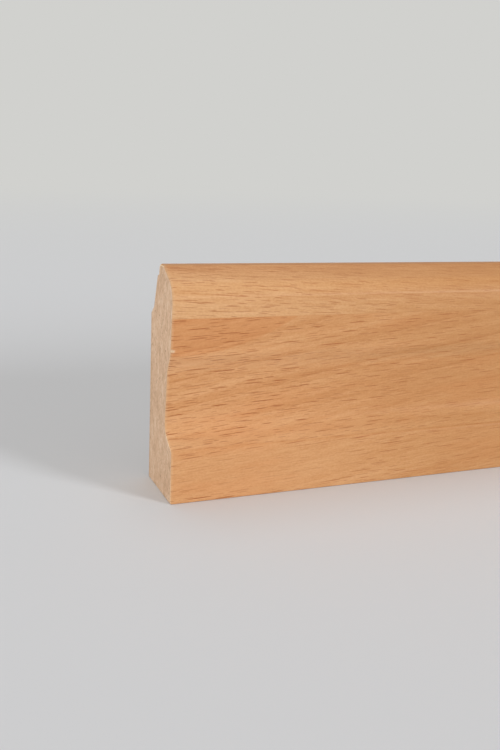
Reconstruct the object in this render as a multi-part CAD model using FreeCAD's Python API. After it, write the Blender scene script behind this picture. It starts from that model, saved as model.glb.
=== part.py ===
import FreeCAD, Part
import math
import os

# Veneered skirting board: one straight length of machined fibreboard whose show side is
# wrapped in beech veneer. X runs along the board, the show side looks towards -Y, the wall
# face towards +Y, and the foot stands on Z = 0. The origin is the middle of the foot.

# Whole board
LENGTH = 2400.0
HEIGHT = 58.0
DEPTH = 20.0
VENEER_THICKNESS = 0.5

# Foot, the upright plinth that meets the floor
FOOT_HEIGHT = 13.6
FOOT_NOSE_RADIUS = 0.9
FOOT_ARRIS_RADIUS = 0.3
HEEL_ARRIS_RADIUS = 0.7

# Cove above the foot. Set-backs are measured behind the face of the foot.
COVE_RISE = 3.7
COVE_SET_BACK = 6.1
COVE_RADIUS = 4.0

# Neck, where the flat above the cove steps forward to the head. Drops are measured down
# from the top of the board.
NECK_DROP = 25.0
NECK_SET_BACK = 4.6
NECK_RADIUS = 4.0
CHIN_DROP = 20.8
CHIN_SET_BACK = 2.3
CHIN_RADIUS = 6.0

# Head, the thick upper part: a nearly upright face and a shoulder that slopes to the tip
BROW_DROP = 7.8
BROW_SET_BACK = 1.5
BROW_RADIUS = 8.0
SHOULDER_DROP = 3.7
SHOULDER_SET_BACK = 2.6
SHOULDER_RADIUS = 5.0

# Tip, the narrow lip at the top. Clearances are measured forward from the wall.
TIP_CLEARANCE = 7.0
TIP_WIDTH = 3.4
TIP_FRONT_RADIUS = 1.5
TIP_BACK_RADIUS = 0.8

# Relief behind the head: a ledge below the tip, a raking face and a bevel to the wall face
LEDGE_INNER_DROP = 2.7
LEDGE_INNER_CLEARANCE = 6.6
LEDGE_OUTER_DROP = 3.1
LEDGE_OUTER_CLEARANCE = 5.2
LEDGE_NOSE_RADIUS = 0.6
RAKE_DROP = 11.4
RAKE_CLEARANCE = 2.4
RAKE_RADIUS = 0.6
WALL_FACE_DROP = 13.4
WALL_FACE_RADIUS = 0.5


def corner(set_back, height, radius=0.0):
    """A corner of the section at the board's left end, and the radius that rounds it."""
    return FreeCAD.Vector(-LENGTH / 2, set_back - DEPTH / 2, height), radius


def show_corners():
    """The veneered side, from the foot up over the tip and down to the ledge behind it."""
    tip_back = DEPTH - TIP_CLEARANCE
    return [
        corner(0, 0, FOOT_ARRIS_RADIUS),
        corner(0, FOOT_HEIGHT, FOOT_NOSE_RADIUS),
        corner(COVE_SET_BACK, FOOT_HEIGHT + COVE_RISE, COVE_RADIUS),
        corner(NECK_SET_BACK, HEIGHT - NECK_DROP, NECK_RADIUS),
        corner(CHIN_SET_BACK, HEIGHT - CHIN_DROP, CHIN_RADIUS),
        corner(BROW_SET_BACK, HEIGHT - BROW_DROP, BROW_RADIUS),
        corner(SHOULDER_SET_BACK, HEIGHT - SHOULDER_DROP, SHOULDER_RADIUS),
        corner(tip_back - TIP_WIDTH, HEIGHT, TIP_FRONT_RADIUS),
        corner(tip_back, HEIGHT, TIP_BACK_RADIUS),
        corner(DEPTH - LEDGE_INNER_CLEARANCE, HEIGHT - LEDGE_INNER_DROP),
    ]


def raw_corners():
    """The bare side, from the ledge down the relief and the wall face to the heel."""
    return [
        corner(DEPTH - LEDGE_OUTER_CLEARANCE, HEIGHT - LEDGE_OUTER_DROP, LEDGE_NOSE_RADIUS),
        corner(DEPTH - RAKE_CLEARANCE, HEIGHT - RAKE_DROP, RAKE_RADIUS),
        corner(DEPTH, HEIGHT - WALL_FACE_DROP, WALL_FACE_RADIUS),
        corner(DEPTH, 0, HEEL_ARRIS_RADIUS),
    ]


def rounding(before, at, after, radius):
    """The arc that rounds a corner and touches both of its sides."""
    back = (before - at).normalize()
    forward = (after - at).normalize()
    inward = (back + forward).normalize()
    half_angle = back.getAngle(forward) / 2
    reach = radius / math.tan(half_angle)
    crown = radius / math.sin(half_angle) - radius
    return Part.Arc(at + back * reach, at + inward * crown, at + forward * reach)


def outline(corners):
    """A wire from the first corner to the last, with the corners between them rounded."""
    edges = []
    start = corners[0][0]
    for (before, _), (at, radius), (after, _) in zip(corners, corners[1:], corners[2:]):
        arc = rounding(before, at, after, radius)
        edges += [Part.makeLine(start, arc.StartPoint), arc.toShape()]
        start = arc.EndPoint
    edges.append(Part.makeLine(start, corners[-1][0]))
    return Part.Wire(edges)


def board_section():
    """The section as machined and wrapped: from the ledge behind the tip down the bare side,
    under the foot and up the show side, back to the ledge."""
    show = show_corners()
    return Part.Face(outline(show[-1:] + raw_corners() + show))


def veneer_band():
    """The strip between the show side's outline and its copy one veneer further in. It ends
    square on the floor, so the arris of the foot is cut from it."""
    return outline(show_corners()).makeOffset2D(VENEER_THICKNESS, fill=True, openResult=True)


def save_length(name, section):
    """One piece of the board: its section, drawn out over the whole length."""
    solid = section.Faces[0].extrude(FreeCAD.Vector(LENGTH, 0, 0))
    solid.exportStep(os.path.join("parts", name + ".step"))


os.makedirs("parts", exist_ok=True)
section = board_section()
band = veneer_band()
save_length("core_board", section.cut(band))
save_length("beech_veneer", section.common(band))
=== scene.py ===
import math
import bpy
import bmesh
from mathutils import Matrix, Vector, noise


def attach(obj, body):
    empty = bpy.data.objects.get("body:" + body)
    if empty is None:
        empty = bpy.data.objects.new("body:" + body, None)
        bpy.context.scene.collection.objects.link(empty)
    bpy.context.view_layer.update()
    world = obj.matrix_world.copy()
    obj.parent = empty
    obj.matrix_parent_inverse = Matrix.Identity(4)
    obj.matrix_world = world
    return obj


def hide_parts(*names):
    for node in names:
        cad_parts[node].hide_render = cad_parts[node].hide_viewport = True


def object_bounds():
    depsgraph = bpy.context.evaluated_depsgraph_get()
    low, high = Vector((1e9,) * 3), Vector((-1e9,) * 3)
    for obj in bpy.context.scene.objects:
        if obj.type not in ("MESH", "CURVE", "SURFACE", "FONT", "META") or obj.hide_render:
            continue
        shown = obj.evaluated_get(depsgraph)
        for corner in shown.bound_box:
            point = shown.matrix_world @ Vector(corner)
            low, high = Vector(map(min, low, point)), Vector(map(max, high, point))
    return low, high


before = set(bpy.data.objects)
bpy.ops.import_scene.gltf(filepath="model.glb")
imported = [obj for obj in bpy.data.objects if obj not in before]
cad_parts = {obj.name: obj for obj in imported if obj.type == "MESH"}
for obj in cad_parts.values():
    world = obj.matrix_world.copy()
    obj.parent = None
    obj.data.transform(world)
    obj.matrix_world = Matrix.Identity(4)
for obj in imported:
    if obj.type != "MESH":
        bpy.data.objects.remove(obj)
cad_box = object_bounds()


# The core board.
# One length of medium density wood fibreboard, cut by a moulder to the front moulding, the foot and
# the relief behind the top, and sawn square at both ends. Its back, base and ends stay bare, and the
# veneer is glued over its front.
MM = 0.001
LENGTH, DEPTH, HEIGHT = (round((high - low) / MM, 3) for low, high in zip(*cad_box))
SAWN_END = -LENGTH / 2
VENEER = 0.5
# Corners in millimetres: set-back behind the face of the foot, height, and radius of the rounding.
BASE = (VENEER, 0.0, 0.0)
FOOT = (0.0, 0.0, 0.3)
MOULDING = (
    (0.0, 13.6, 0.9),  # nose of the foot
    (6.1, 17.3, 4.0),  # back of the cove
    (4.6, 33.0, 4.0),  # neck
    (2.3, 37.2, 6.0),  # chin
    (1.5, 50.2, 8.0),  # brow
    (2.6, 54.3, 5.0),  # shoulder
    (9.6, HEIGHT, 1.5),  # front of the tip
    (13.0, HEIGHT, 0.8),  # back of the tip
)
LEDGE = (13.4, 55.3, 0.0)
RELIEF = ((14.8, 54.9, 0.6), (17.6, 46.6, 0.6), (DEPTH, 44.6, 0.5), (DEPTH, 0.0, 0.7))
ARC_STEPS = 8
STEP_UP = 0.97


def run_of(first):
    """The vertices of an open chain of edges, in order from its first one."""
    line = [first]
    seen = {first}
    while True:
        ahead = [e.other_vert(line[-1]) for e in line[-1].link_edges]
        ahead = [v for v in ahead if v not in seen]
        if not ahead:
            return line
        line.append(ahead[0])
        seen.add(ahead[0])


def moulded_line(bm, corners):
    """A chain of edges through corners at the sawn end, rounded where they have a radius."""
    chain = [bm.verts.new((SAWN_END * MM, (t - DEPTH / 2) * MM, z * MM)) for t, z, _ in corners]
    for a, b in zip(chain, chain[1:]):
        bm.edges.new((a, b))
    for corner, (_, _, radius) in list(zip(chain, corners))[1:-1]:
        if radius:
            a, b = (e.other_vert(corner).co - corner.co for e in corner.link_edges)
            reach = radius * MM / math.tan(a.angle(b) / 2)
            bmesh.ops.bevel(
                bm,
                geom=[corner],
                offset=reach,
                offset_type="OFFSET",
                affect="VERTICES",
                segments=ARC_STEPS,
                profile=0.5,
                material=-1,
            )
    return run_of(chain[0])


def sunk(line, depth):
    """Moves a chain sideways into the board by depth, keeping its distance everywhere."""
    runs = [(b.co - a.co).normalized() for a, b in zip(line, line[1:])]
    inwards = [Vector((0.0, d.z, -d.y)) for d in runs]
    moves = []
    for before, after in zip(inwards[:1] + inwards, inwards + inwards[-1:]):
        moves.append((before + after) * depth * MM / (1 + before.dot(after)))
    for vert, move in zip(line, moves):
        vert.co += move


def measure(bm, line, start=0.0):
    """Writes on each vertex of a chain how far along the chain it is, in metres. The chain on the
    glued side starts past the end of the other, so that its numbers tell it apart."""
    layer = bm.verts.layers.float["girth"]
    for a, b in zip([None] + line, line):
        start += (b.co - a.co).length if a else 0.0
        b[layer] = start
    return start


def ring_of_edges(bm, at, facing):
    """Adds edges where a plane passes through the board."""
    everything = bm.verts[:] + bm.edges[:] + bm.faces[:]
    bmesh.ops.bisect_plane(bm, geom=everything, dist=1e-7, plane_co=Vector(at) * MM, plane_no=facing)


# The baked map has the sides that show in one row for each fold of the length, and under them a strip
# with both sawn ends and the glued side. Each part has a corner on the map and a scale.
FOLDS = 6
ROWS, ROW_SCALE = (0.004, 0.14), (0.992, 0.143)
ROW_FILLED = 0.97
LEFT_END, RIGHT_END, END_SCALE = (0.005, 0.008), (0.345, 0.008), (5.4, 5.9)
GLUED_SIDE, GLUED_SCALE = (0.69, 0.008), (0.3, 1.9)


def run_out(bm, girth):
    """Pulls the section along the whole length and marks the sides that show, which the girth goes
    round. Then it adds edges across the board at the folds, and along it at every step up."""
    grown = bmesh.ops.extrude_face_region(bm, geom=bm.faces[:] + bm.edges[:] + bm.verts[:])
    layer = bm.verts.layers.float["girth"]
    shows = bm.faces.layers.int.new("shows")
    for face in bm.faces:
        face[shows] = int(max(v[layer] for v in face.verts) <= girth)
    far = [v for v in grown["geom"] if isinstance(v, bmesh.types.BMVert)]
    bmesh.ops.translate(bm, vec=(LENGTH * MM, 0, 0), verts=far)
    for fold in range(1, FOLDS):
        ring_of_edges(bm, (SAWN_END + LENGTH * fold / FOLDS, 0, 0), (1, 0, 0))
    for step in range(1, int(HEIGHT / STEP_UP) + 1):
        ring_of_edges(bm, (0, 0, step * STEP_UP), (0, 0, 1))
    bmesh.ops.recalc_face_normals(bm, faces=bm.faces[:])


def break_arris(bm, width, depth, seed, chip=None):
    """Wears the sharp edge off the sawn ends, unevenly, round the part of the section that shows. The
    width and depth of the wear vary by the shares that are given first."""
    width_varies, depth_varies = 0.5, 0.3
    nothing = 0.001 * MM
    layer = bm.verts.layers.float["girth"]
    shows = bm.faces.layers.int["shows"]
    for end in (SAWN_END, -SAWN_END):
        ring_of_edges(bm, (end - math.copysign(width, end), 0, 0), (1, 0, 0))
    moves = []
    for vert in bm.verts:
        out = sum((face.normal for face in vert.link_faces if face[shows]), Vector())
        inside = -SAWN_END * MM - abs(vert.co.x)
        if not out.length or inside > width * MM + nothing:
            continue
        wear = noise.noise((vert[layer] / MM, seed, math.copysign(inside / MM + 1, vert.co.x)))
        if inside > nothing:
            moves.append((vert, Vector((wear * width_varies * width * MM, 0.0, 0.0))))
            continue
        gone = depth * (1 + wear * depth_varies)
        if chip and vert.co.x < 0:
            gone += chip["depth"] * max(0.0, 1 - abs(vert.co.z / MM - chip["height"]) / chip["reach"])
        moves.append((vert, -out.normalized() * gone * MM))
    for vert, move in moves:
        vert.co += move


def sawn(face):
    """Whether the saw left a face, cut or worn, which then looks out of an end of the board."""
    turned_out = 0.3
    return abs(face.normal.x) > turned_out


def on_map(corner, scale, u, v):
    """A place on the baked map, from the corner and the scale of the part that it is in."""
    return corner[0] + u * scale[0], corner[1] + v * scale[1]


def lay_out(bm, girth):
    """Maps for the surface: one that gives the grain its place in metres, and one for the bake."""
    layer = bm.verts.layers.float["girth"]
    shows = bm.faces.layers.int["shows"]
    grain = bm.loops.layers.uv.new("grain")
    bake = bm.loops.layers.uv.new("OFBake")
    for face in bm.faces:
        middle = face.calc_center_median().x / MM - SAWN_END
        fold = min(int(middle / LENGTH * FOLDS), FOLDS - 1)
        for loop in face.loops:
            at = loop.vert.co
            along = at.x - SAWN_END * MM
            across = loop.vert[layer]
            loop[grain].uv = (along, across)
            share = along / (LENGTH * MM)
            if sawn(face):
                end = RIGHT_END if middle > LENGTH / 2 else LEFT_END
                place = on_map(end, END_SCALE, at.z, at.y + DEPTH / 2 * MM)
            elif not face[shows]:
                place = on_map(GLUED_SIDE, GLUED_SCALE, share, at.z)
            else:
                place = on_map(ROWS, ROW_SCALE, share * FOLDS - fold, fold + across / girth * ROW_FILLED)
            loop[bake].uv = place


def finished(bm, name, materials):
    """The piece as an object: the first material along the board, the second where the saw cut it."""
    crease = math.radians(28.0)
    for face in bm.faces:
        face.material_index = int(sawn(face))
        face.smooth = not sawn(face)
    mesh = bpy.data.meshes.new(name)
    bm.to_mesh(mesh)
    bm.free()
    mesh.set_sharp_from_angle(angle=crease)
    for material in materials:
        mesh.materials.append(material)
    mesh.uv_layers.active = mesh.uv_layers["grain"]
    mesh.uv_layers["grain"].active_render = True
    piece = bpy.data.objects.new(name, mesh)
    bpy.context.scene.collection.objects.link(piece)
    return piece


def paint(*screen):
    """A colour as a shader wants it, from the 0 to 255 that a screen shows."""
    shares = [value / 255 for value in screen]
    linear = [s / 12.92 if s < 0.04 else ((s + 0.055) / 1.055) ** 2.4 for s in shares]
    return (*linear, 1.0)


class Wire:
    """A socket of a material's nodes. Sums with it add Math nodes, and node() adds any other."""

    def __init__(self, tree, socket=None):
        self.tree = tree
        self.socket = socket

    def node(self, kind, settings, sockets, output=0):
        new = self.tree.nodes.new("ShaderNode" + kind)
        for name, value in settings.items():
            if name == "stops":
                ramp = new.color_ramp.elements
                for place, colour in value[2:]:
                    ramp.new(place)
                for stop, (place, colour) in zip(ramp, value):
                    stop.position = place
                    stop.color = colour
            else:
                setattr(new, name, value)
        for name, value in sockets.items():
            if isinstance(value, Wire):
                self.tree.links.new(value.socket, new.inputs[name])
            else:
                new.inputs[name].default_value = value
        return Wire(self.tree, new.outputs[output])

    def out(self, name):
        return Wire(self.tree, self.socket.node.outputs[name])

    def maths(self, operation, *values):
        return self.node("Math", {"operation": operation}, dict(enumerate(values)))

    def __add__(self, other):
        return self.maths("ADD", self, other)

    def __sub__(self, other):
        return self.maths("SUBTRACT", self, other)

    def __rsub__(self, other):
        return self.maths("SUBTRACT", other, self)

    def __mul__(self, other):
        return self.maths("MULTIPLY", self, other)

    def __truediv__(self, other):
        return self.maths("DIVIDE", self, other)

    def __pow__(self, other):
        return self.maths("POWER", self, other)

    __radd__ = __add__
    __rmul__ = __mul__

    def __abs__(self):
        return self.maths("ABSOLUTE", self)

    def sine(self):
        return self.maths("SINE", self)

    def floor(self):
        return self.maths("FLOOR", self)

    def at_least(self, low):
        return self.maths("MAXIMUM", self, low)

    def held(self):
        """The value kept between 0 and 1."""
        return self.node("Clamp", {}, {"Value": self})

    def step(self, low, high):
        """0 at low and 1 at high, with an eased slope between."""
        sockets = {"Value": self, "From Min": low, "From Max": high}
        return self.node("MapRange", {"interpolation_type": "SMOOTHSTEP"}, sockets)

    def peak(self, middle, reach):
        """1 at middle, and a straight slope down to 0 at reach on either side."""
        return (1 - abs(self - middle) / reach).at_least(0.0)

    def dome(self, middle, reach):
        """1 at middle, and a round slope down to 0 at reach on either side."""
        return (1 - ((self - middle) / reach) ** 2.0).at_least(0.0)

    def noise(self, x, y, z=0.0, detail=2.0, rough=0.5):
        """Cloudy noise from 0 to 1, with the size of its clouds set by x, y and z."""
        place = self.node("CombineXYZ", {}, {"X": x, "Y": y, "Z": z})
        sockets = {"Vector": place, "Scale": 1.0, "Detail": detail, "Roughness": rough}
        return self.node("TexNoise", {"noise_dimensions": "3D"}, sockets)

    def blend(self, first, second):
        """First colour at 0 and second at 1, mixed by this value."""
        settings = {"data_type": "RGBA", "blend_type": "MIX", "clamp_factor": True}
        return self.node("Mix", settings, {0: self, 6: first, 7: second}, 2)

    def coloured(self, stops):
        """The colour that this value has on a ramp of stops, each a value and a colour."""
        return self.node("ValToRGB", {"stops": stops}, {"Fac": self.held()})

    def relief(self, depth, strength):
        """A fine relief with this value as its height, for a shader's Normal."""
        return self.node("Bump", {}, {"Strength": strength, "Distance": depth * MM, "Height": self})


def new_material(name, **constants):
    """A material's shader node, and a wire to start its sums from."""
    material = bpy.data.materials.new(name)
    material.use_nodes = True
    shader = material.node_tree.nodes["Principled BSDF"]
    for socket, value in constants.items():
        shader.inputs[socket.replace("_", " ")].default_value = value
    return material, shader, Wire(material.node_tree)


def feed(shader, **wires):
    """Links what changes over the surface to the shader."""
    for socket, wire in wires.items():
        wire.tree.links.new(wire.socket, shader.inputs[socket.replace("_", " ")])


def place_of(start):
    """The node with a point's X, Y and Z outputs, in metres."""
    place = start.node("TexCoord", {}, {}, "Object")
    return start.node("SeparateXYZ", {}, {"Vector": place})


BARK = paint(140, 104, 78)


def fibreboard(name, colours, mark, tool, roughness):
    """Fibreboard as a tool leaves it: fine felted fibres and some dark specks of bark, darker by the
    wall face, and with painted shade towards the base. The size of a fibre's mark is given along,
    through and up the board, and the tool by the pitch of its lines and whether they run up the board."""
    material, shader, start = new_material(name, Roughness=roughness, Specular_IOR_Level=0.25)
    place = place_of(start)
    x, y, z = (place.out(axis) * (1 / MM) for axis in "XYZ")
    along, through, up = mark
    felt = start.noise(x / along, y / through, z / up, detail=3.0, rough=0.6)
    coarse = start.noise(x / (along * 3), y / (through * 3), z / (up * 3), detail=2.0)
    fine = start.noise(x / (along * 0.3), y / (through * 0.35), z / (up * 0.35), detail=1.0)
    tone = (felt - 0.5) * 1.1 + (coarse - 0.5) * 0.8 + (fine - 0.5) * 0.6 + 0.5
    dark, middle, light = colours
    colour = tone.coloured(((0.0, dark), (0.5, middle), (1.0, light)))
    speck = start.noise(x / 0.9, y / 0.45, z / 0.9, detail=0.0).step(0.70, 0.78)
    colour = (speck * 0.5).blend(colour, BARK)
    # Darker in the dense skin by the wall face, and painted shade towards the base.
    dense_skin_and_base_shade = (DEPTH / 2 - y).step(1.6, 0.2) * 0.35 + z.step(45.0, 0.0) * 0.16
    colour = dense_skin_and_base_shade.blend(colour, dark)
    pitch, upright = tool
    line = (y / pitch, 0.0) if upright else (x / 40, z / pitch)
    height = tone + start.noise(*line, detail=1.0) * 0.8
    feed(shader, Base_Color=colour, Normal=height.relief(0.08, 0.35))
    return material


SAWN_FACE = fibreboard(
    "fibreboard_sawn",
    (paint(181, 146, 115), paint(213, 178, 147), paint(232, 207, 180)),
    mark=(0.9, 0.7, 1.5),
    tool=(0.55, True),
    roughness=0.85,
)
PLANED_FACE = fibreboard(
    "fibreboard_planed",
    (paint(176, 141, 108), paint(200, 166, 131), paint(217, 188, 156)),
    mark=(1.8, 0.5, 0.7),
    tool=(0.8, False),
    roughness=0.72,
)

bm = bmesh.new()
bm.verts.layers.float.new("girth")
front = moulded_line(bm, (FOOT, *MOULDING, LEDGE))
sunk(front, VENEER)
back = moulded_line(bm, (LEDGE, *RELIEF, BASE))
girth = measure(bm, back)
measure(bm, front, girth + MM)
bm.edges.new((front[-1], back[0]))
bmesh.ops.weld_verts(bm, targetmap={front[0]: back[-1]})
bmesh.ops.contextual_create(bm, geom=bm.edges[:])
run_out(bm, girth)
break_arris(bm, width=0.15, depth=0.12, seed=2.5)
lay_out(bm, girth)
core = finished(bm, "core_length", [PLANED_FACE, SAWN_FACE])
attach(core, "root")
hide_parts("core_board")


# The beech veneer.
# Half a millimetre of steamed beech, two leaves spliced edge to edge, glued over the moulding from
# the base of the foot over the top to the ledge behind it, sanded and given a satin lacquer. It is
# sawn through together with the core, which leaves its pale cut edge bare.
CHIP = {"height": 38.4, "reach": 0.6, "depth": 0.2}

bm = bmesh.new()
layer = bm.verts.layers.float.new("girth")
outer = moulded_line(bm, (BASE, FOOT, *MOULDING, LEDGE))
inner = moulded_line(bm, (FOOT, *MOULDING, LEDGE))
sunk(inner, VENEER)
girth = measure(bm, outer)
measure(bm, inner, girth + MM)


def up_the_face(height):
    """How far over the veneer, from its edge at the base, a height above the floor is."""
    below = [v for v in outer if v.co.z < height * MM][-1]
    return (below[layer] / MM) + height - below.co.z / MM


# Where the wood or its tone changes on the moulding.
CALM = up_the_face(7.0)
NOSE = up_the_face(13.5)
UNDERCUT = up_the_face(35.2)
FIRST_RING = up_the_face(37.0)
CHIPPED = up_the_face(CHIP["height"])
SPLICE = up_the_face(46.3)
SHOULDER = up_the_face(53.6)
bm.edges.new((inner[-1], outer[-1]))
bmesh.ops.weld_verts(bm, targetmap={inner[0]: outer[0]})
bmesh.ops.contextual_create(bm, geom=bm.edges[:])
run_out(bm, girth)
break_arris(bm, width=0.5, depth=0.22, seed=4.5, chip=CHIP)
lay_out(bm, girth)

# Colours of the wood from dark to light, of what lies over them, and sizes in millimetres.
BEECH = (
    (0.0, paint(181, 121, 74)),
    (0.3, paint(197, 140, 90)),
    (0.5, paint(207, 153, 103)),
    (0.7, paint(216, 165, 116)),
    (1.0, paint(229, 182, 135)),
)
REDDISH = paint(216, 144, 90)
# The painted shade that darkens the board away from its left sawn end.
FALLOFF_SHADE_COLOUR = paint(188, 134, 80)
BARE_WOOD = paint(226, 194, 158)
RAY = paint(160, 89, 44)
FLECK = paint(176, 110, 66)
RING = 7.7
WEDGE = {"height": 8.8, "length": 32}
CALM_PATCH = {"middle": 26, "length": 28, "height": 6.5}
OTHER_LEAF = 517.0


def rays(along, across, pitch, length, width, share):
    """Spindle marks along the grain, 0 to 1, where the rays of the wood were cut across. Every cell
    of the pitch may hold one, and a share of them do, some darker than others."""
    place = along.node("CombineXYZ", {}, {"X": along / pitch[0], "Y": across / pitch[1]})
    sockets = {"Vector": place, "Scale": 1.0}
    cell = place.node("TexVoronoi", {"voronoi_dimensions": "2D"}, sockets, "Position")
    middle = cell.node("SeparateXYZ", {}, {"Vector": cell})
    drawn = cell.node("SeparateColor", {}, {"Color": cell.out("Color")})
    tilt = (drawn.out("Blue") - 0.5) * 0.06
    ahead = (along / pitch[0] - middle) * pitch[0]
    aside = (across / pitch[1] - middle.out("Y")) * pitch[1] + ahead * tilt
    half = drawn * 0.35 + 0.2
    taper = 1.0 - (abs(ahead) / half / length) ** 3.0
    mark = (taper - abs(aside) / (width / 2)).step(0.0, 0.7)
    return mark * drawn.out("Green").step(1.0 - share, 1.2 - share) * (drawn.out("Blue") * 0.6 + 0.4)


def beech():
    """The lacquered face: rings, rays and fibres of two leaves on either side of the splice."""
    material, shader, start = new_material("beech_lacquered", Specular_IOR_Level=0.24)
    flat = start.node("UVMap", {"uv_map": "grain"}, {})
    flat = start.node("SeparateXYZ", {}, {"Vector": flat})
    along, up = flat * (1 / MM), flat.out("Y") * (1 / MM)
    # 1 above the splice, and 1 where painted shade has darkened the board away from the left sawn end.
    upper = (up - SPLICE).step(-0.06, 0.06)
    painted_falloff_shade = along.step(5.0, 95.0)

    # The fibres and the rings run at their own slants, which turn slowly along each leaf.
    lean = (along * (2 * math.pi / 900)).sine()
    back_lean = (along * (2 * math.pi / 700)).sine()
    sway = (start.noise(along / 130, up / 45) - 0.5) * 3.0
    fibre = up - sway - (1 - upper) * lean * 9.0 + upper * (back_lean * 8.0 + 41.0)
    level = up + sway - lean * 29.0 + upper * (lean * 29.0 + back_lean * 6.0)
    length = along + upper * OTHER_LEAF

    # Each ring starts with a darker line. A redder wedge lies between the first and the splice.
    ring = (level - FIRST_RING) / RING
    ring = ring + (start.noise(along / 40, up / 3.0, 4.0, detail=2.0) - 0.5) * 0.2
    number = ring.floor()
    part = ring - number
    depth = (number * 0.9 + length / 90 + 2.3).sine() * 0.5 + 0.5
    shade = (1 - part) ** 2.0 * (depth * 0.05 + 0.02) + (1 - part) ** 12.0 * depth * 0.24
    shade = shade - part.dome(0.5, 0.25) * depth * 0.07
    edge = FIRST_RING + WEDGE["height"] * (along / WEDGE["length"]) ** 2.2
    wedge = (up - edge).step(-0.15, 0.35) * (1 - upper)

    # Clouds and streaks of the wood, down to its single fibres, and a calm patch on the foot.
    calm = ((along - CALM_PATCH["middle"]) / CALM_PATCH["length"]) ** 2.0
    calm = (calm + ((up - CALM) / CALM_PATCH["height"]) ** 2.0).step(1.3, 0.7) * 0.85
    cloud = start.noise(length / 45, level / 6.0, 1.0, detail=3.0) - 0.5
    streak = start.noise(length / 24, level / 1.3, 6.0, detail=3.0, rough=0.55) - 0.5
    mottle = start.noise(length / 3.5, fibre / 0.9, 2.0, detail=2.0) - 0.5
    thread = start.noise(length / 9.0, fibre / 0.3, 3.0, detail=2.0) - 0.5
    grit = start.noise(length / 0.7, fibre / 0.45, 5.0, detail=1.0) - 0.5

    # Painted light and shade on the moulding: painted light in the undercut, on the shelf, just above
    # the nose and low on the foot, and painted shade on the nose and at the tip. Just above the splice
    # it is paler.
    over = up - NOSE
    # Painted light in the undercut, where the face turns down.
    undercut_painted_light = up.dome(UNDERCUT, 3.8) * (0.26 - painted_falloff_shade * 0.07)
    shelf_painted_light = over.step(7.5, 5.0) * (0.11 + painted_falloff_shade * 0.1) + over.step(14.0, 9.0) * 0.12
    # Painted light on the shelf, low on the foot and just above the nose, painted shade on the nose, and
    # a paler tone just above the splice.
    lip = over.step(0.3, 1.2) * shelf_painted_light * (1.05 - painted_falloff_shade * 0.3)
    lip = lip + up.step(7.5, 1.5) * 0.05 + over.step(1.5, -0.5) * painted_falloff_shade * (1 - painted_falloff_shade) * 0.45
    lip = lip + over.peak(1.8, 1.4) * (painted_falloff_shade * 0.11 + 0.02) - over.peak(0.0, 0.8) * 0.1
    lip = lip + (up - SPLICE).step(4.0, 2.0) * upper * 0.055
    # Painted shade at the tip, darkest towards its top.
    tip_painted_shade = (up - SHOULDER).step(0.0, 8.0) * (0.33 - painted_falloff_shade * 0.16)

    # All of these make the tone, which is coloured as beech and then drawn towards red in places.
    # Painted shade lowers the tone away from the left sawn end.
    tone = 0.58 + upper * 0.08 - painted_falloff_shade * (upper * 0.06 + 0.20)
    tone = tone - shade - wedge * 0.17 + undercut_painted_light + lip - tip_painted_shade
    tone = tone + cloud * 0.15 + streak * (0.60 - calm * 0.3)
    tone = tone + mottle * 0.28 + thread * 0.42 + grit * 0.42
    colour = tone.coloured(BEECH)
    red = start.noise(length / 38, fibre / 7.0, 9.0).step(0.45, 0.75) * (1 - upper * 0.6)
    red = red * 0.2 + (1 - painted_falloff_shade) * (1 - upper) * 0.2 + wedge * 0.2
    colour = red.held().blend(colour, REDDISH)
    # Painted shade: the colour darkens away from the left sawn end.
    colour = (painted_falloff_shade * 0.35).blend(colour, FALLOFF_SHADE_COLOUR)

    # The saw frays the lacquer at both ends, and the chip shows bare wood.
    inside = LENGTH / 2 - abs(along - LENGTH / 2)
    frayed = (inside + start.noise(up / 1.3, along / 0.6, 15.0) * 0.5).step(0.9, 0.35)
    bare = up.peak(CHIPPED, CHIP["reach"]) * along.step(1.2, 0.6)
    colour = (frayed * 0.24 + bare).held().blend(colour, BARE_WOOD)

    # Three sizes of ray mark lie over the colour, and also dull and dent the lacquer a little.
    bold = rays(length, fibre, pitch=(9.0, 1.6), length=8.2, width=0.32, share=0.85)
    small = rays(length + 3.3, fibre + 0.7, pitch=(5.2, 0.85), length=4.5, width=0.25, share=0.9)
    flecks = rays(length + 1.1, fibre + 0.3, pitch=(2.4, 0.6), length=2.0, width=0.2, share=0.7)
    vigour = (along / 32 + 1.57).sine() * 0.25 + 0.85
    marks = (bold * (1 - upper * 0.3) + small * 0.7).held() * (1 - calm * 0.8) * vigour
    colour = (marks * 0.95).blend(colour, RAY)
    colour = (flecks * 0.3).blend(colour, FLECK)
    rough = 0.50 + marks * 0.12 + mottle * 0.1
    height = 0.5 - marks * 0.6 + thread * 0.3
    feed(shader, Base_Color=colour, Roughness=rough, Normal=height.relief(0.05, 0.3))
    return material


def cut_beech():
    """The bare edge that the saw leaves: tan, and paler at the foot, the lip of the cove and the tip."""
    material, shader, start = new_material("beech_cut_edge", Roughness=0.7, Specular_IOR_Level=0.3)
    place = place_of(start)
    x, y, z = (place.out(axis) * (1 / MM) for axis in "XYZ")
    pores = start.noise(x / 0.4, y / 0.25, z / 0.6, detail=2.0)
    lip = (abs(z - 15.4) / 2.4).step(1.0, 0.4)
    pale = (z.step(10.0, 1.0) * 0.8 + lip + z.step(57.2, 57.9)).held()
    between = pores.step(0.3, 0.7)
    tan = between.blend(paint(206, 164, 120), paint(226, 186, 142))
    cream = between.blend(paint(238, 208, 164), paint(252, 232, 196))
    feed(shader, Base_Color=pale.blend(tan, cream), Normal=pores.relief(0.05, 0.3))
    return material


veneer = finished(bm, "veneer_face", [beech(), cut_beech()])
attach(veneer, "root")
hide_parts("beech_veneer")


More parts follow.
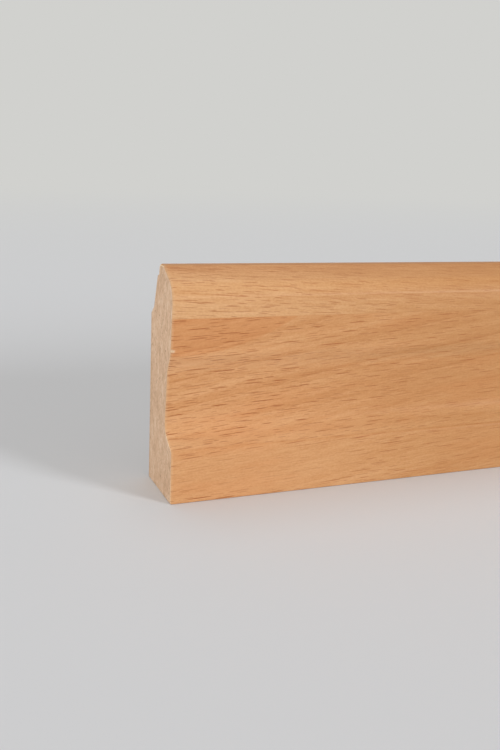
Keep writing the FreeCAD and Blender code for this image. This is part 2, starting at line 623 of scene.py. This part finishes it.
# The floor.
# A wide matt pale sheet. Away from the board it takes the even colour of the backdrop, but only in
# what the camera sees, so that no light comes from it.
FLOOR_REACH = 40.0
SHEET = paint(221, 222, 224)
BACKDROP = paint(209, 209, 206)
FADE_FROM, FADE_TO = 0.1, 1.6


def in_view(start):
    """1 in what the camera sees, straight, mirrored or through glass, and 0 in all other light."""
    path = start.node("LightPath", {}, {}, "Is Camera Ray")
    return (path + path.out("Is Glossy Ray") + path.out("Is Transmission Ray")).held()


bm = bmesh.new()
bmesh.ops.create_grid(bm, x_segments=1, y_segments=1, size=FLOOR_REACH)
mesh = bpy.data.meshes.new("floor")
bm.to_mesh(mesh)
bm.free()
floor = bpy.data.objects.new("floor", mesh)
bpy.context.scene.collection.objects.link(floor)
material, shader, start = new_material(
    "pale_sheet", Base_Color=SHEET, Roughness=0.9, Specular_IOR_Level=0.1
)
place = place_of(start)
beyond = (abs(place) - LENGTH / 2 * MM).at_least(0.0)
distance = (beyond**2.0 + place.out("Y") ** 2.0) ** 0.5
far = distance.step(FADE_FROM, FADE_TO) * in_view(start)
glow = start.node("Emission", {}, {"Color": BACKDROP, "Strength": 1.0})
lit = Wire(material.node_tree, shader.outputs["BSDF"])
mixed = start.node("MixShader", {}, {0: far, 1: lit, 2: glow})
output = material.node_tree.nodes["Material Output"]
material.node_tree.links.new(mixed.socket, output.inputs["Surface"])
mesh.materials.append(material)


# The light.
# Three broad soft lamps far away: at the front right, beside the left sawn end and overhead. A weak
# even light comes from all round, and the camera sees the backdrop's colour in its place.
WHITE = paint(255, 255, 255)
COOL_WHITE = paint(248, 251, 255)
WARM_WHITE = paint(255, 253, 250)
LAMPS_AWAY = 18.0
LAMPS_AIM = Vector((-1.0, 0.0, 0.03))

world = bpy.data.worlds.new("studio")
bpy.context.scene.world = world
world.use_nodes = True
around = Wire(world.node_tree)
fill = around.node("Background", {}, {"Color": WARM_WHITE, "Strength": 0.39})
plain = around.node("Background", {}, {"Color": BACKDROP, "Strength": 1.0})
both = around.node("MixShader", {}, {0: in_view(around), 1: fill, 2: plain})
world.node_tree.links.new(both.socket, world.node_tree.nodes["World Output"].inputs["Surface"])


def lamp(name, towards, size, power, colour):
    """A round soft lamp, turned to the sawn end from a direction."""
    data = bpy.data.lights.new(name, "AREA")
    data.shape = "DISK"
    data.size = size
    data.energy = power
    data.color = colour[:3]
    light = bpy.data.objects.new(name, data)
    direction = Vector(towards).normalized()
    light.location = LAMPS_AIM + direction * LAMPS_AWAY
    light.rotation_mode = "QUATERNION"
    light.rotation_quaternion = direction.to_track_quat("Z", "Y")
    bpy.context.scene.collection.objects.link(light)


lamp("key", (0.62, -0.74, 0.245), size=4.8, power=2268.0, colour=COOL_WHITE)
lamp("side", (-0.95, -0.12, 0.28), size=9.0, power=1385.0, colour=WHITE)
lamp("top", (0.0, 0.2, 0.98), size=12.0, power=612.0, colour=WHITE)


# The camera.
# It stands low in front of the left sawn end and looks a little down, along the board's front. Its
# focal length is measured in pixels of a picture that is 750 of them high.
EYE = (-1.25843, -0.19789, 0.08548)
YAW, PITCH, ROLL = (math.radians(angle) for angle in (22.57, 14.69, -2.66))
FOCAL_PIXELS, PICTURE_HEIGHT = 854.8, 750
SENSOR = 36.0
forward = Vector((math.sin(YAW) * math.cos(PITCH), math.cos(YAW) * math.cos(PITCH), -math.sin(PITCH)))
level = Vector((math.cos(YAW), -math.sin(YAW), 0.0))
down = forward.cross(level)
right = level * math.cos(ROLL) + down * math.sin(ROLL)
down = down * math.cos(ROLL) - level * math.sin(ROLL)
data = bpy.data.cameras.new("camera")
data.sensor_width = SENSOR
data.lens = SENSOR * FOCAL_PIXELS / PICTURE_HEIGHT
data.clip_start = 0.01
camera = bpy.data.objects.new("camera", data)
turn = Matrix((right, -down, -forward)).transposed().to_4x4()
camera.matrix_world = Matrix.Translation(EYE) @ turn
bpy.context.scene.collection.objects.link(camera)
bpy.context.scene.camera = camera
bpy.context.scene.view_settings.view_transform = "Standard"
